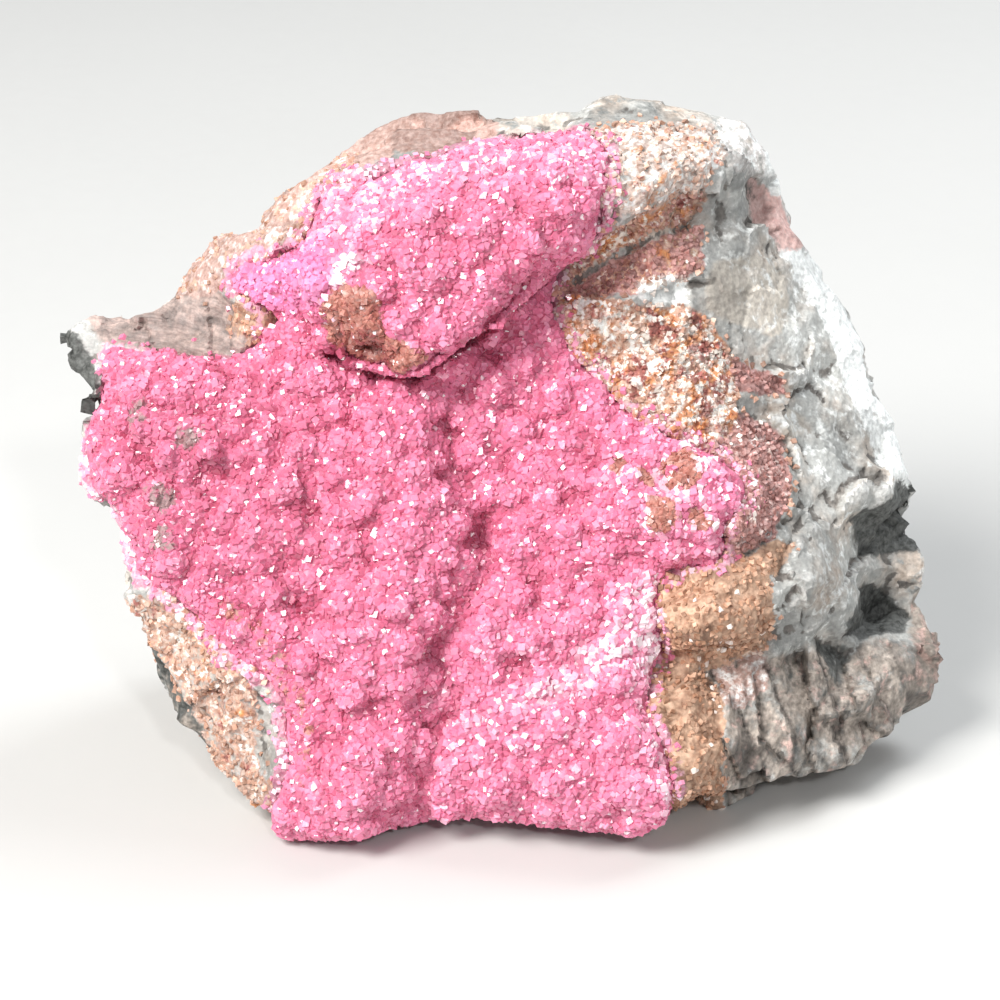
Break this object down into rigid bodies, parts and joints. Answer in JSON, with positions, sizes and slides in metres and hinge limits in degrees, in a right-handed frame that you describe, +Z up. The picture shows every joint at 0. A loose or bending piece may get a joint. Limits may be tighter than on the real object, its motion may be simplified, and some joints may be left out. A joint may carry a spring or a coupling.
{
  "type": "dolomite mineral specimen",
  "caption": "Broken hand specimen of grey-brown host rock that leans back on a flat base, its face covered by a lumpy crust of small grown-together pink dolomite rhombs.",
  "frame": {"origin": "centre of the bounding box's bottom, on the surface that the stone rests on", "axes": "+Z up, +X to the right of a viewer who faces the crystal crust, +Y away from that viewer into the stone"},
  "size_m": [0.0686, 0.0386, 0.049],
  "materials": {
    "host_rock": "rough broken rock",
    "pink_dolomite": "sparkling crystal faces"
  },
  "bodies": {
    "root": {"matrix_rock": "host_rock", "pink_dolomite_crust": "pink_dolomite"}
  },
  "joints": []
}
